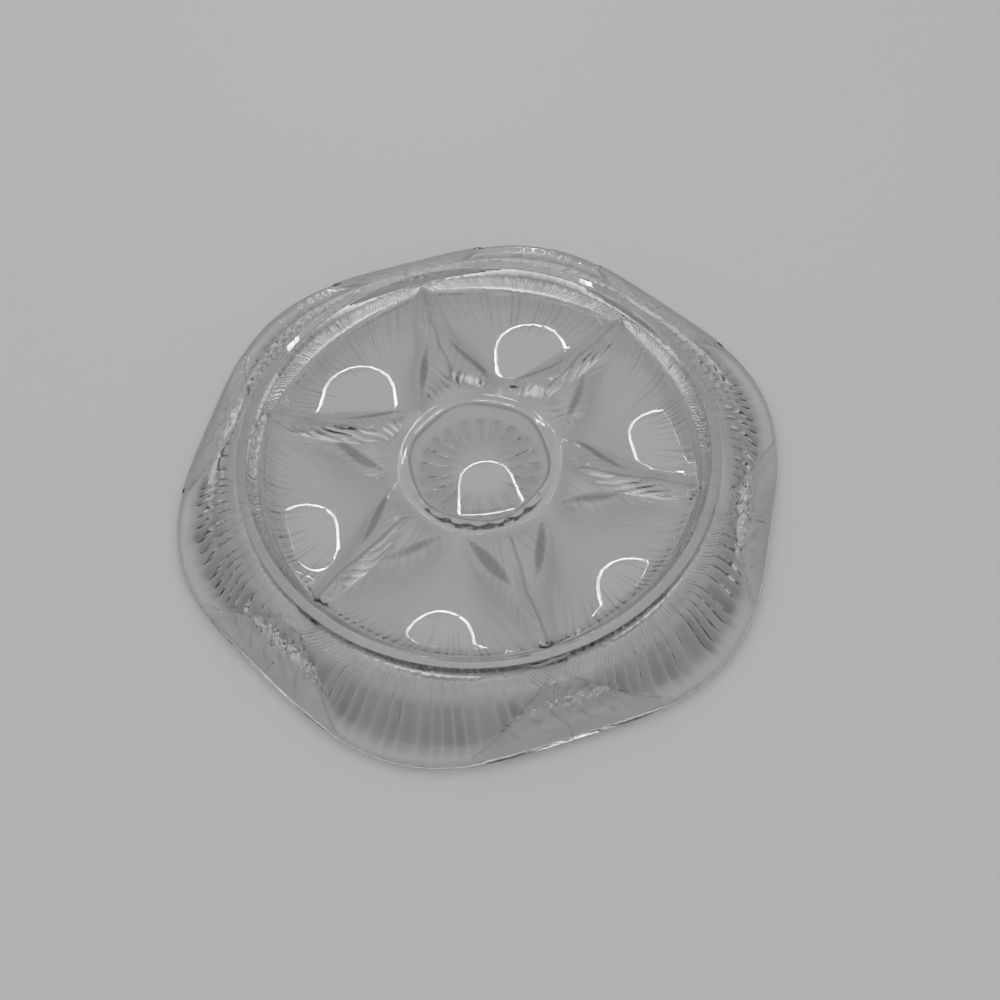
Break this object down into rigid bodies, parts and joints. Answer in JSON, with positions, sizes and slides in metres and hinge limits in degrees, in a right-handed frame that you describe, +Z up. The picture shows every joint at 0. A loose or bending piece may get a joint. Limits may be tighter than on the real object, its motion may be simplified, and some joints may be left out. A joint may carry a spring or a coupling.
{
  "type": "oyster plate",
  "caption": "Clear pressed-glass oyster plate with shell-shaped wells around a central sauce well, a raised ring and a ribbed, wavy rim.",
  "frame": {"origin": "on the plate's vertical axis, at the level of the table it stands on", "axes": "+Z up, +X along the axis of the first oyster well and rim shell, which is the widest direction of the outline"},
  "size_m": [0.25, 0.2372, 0.025],
  "materials": {
    "clear_glass": "clear pressed glass, fire polished, with pressed shell ribs"
  },
  "bodies": {
    "root": {"sauce_well": "clear_glass", "ring": "clear_glass", "oyster_well_1": "clear_glass", "oyster_well_2": "clear_glass", "oyster_well_3": "clear_glass", "oyster_well_4": "clear_glass", "oyster_well_5": "clear_glass", "oyster_well_6": "clear_glass", "rim_shell_1": "clear_glass", "rim_shell_2": "clear_glass", "rim_shell_3": "clear_glass", "rim_shell_4": "clear_glass", "rim_shell_5": "clear_glass", "rim_shell_6": "clear_glass"}
  },
  "joints": []
}
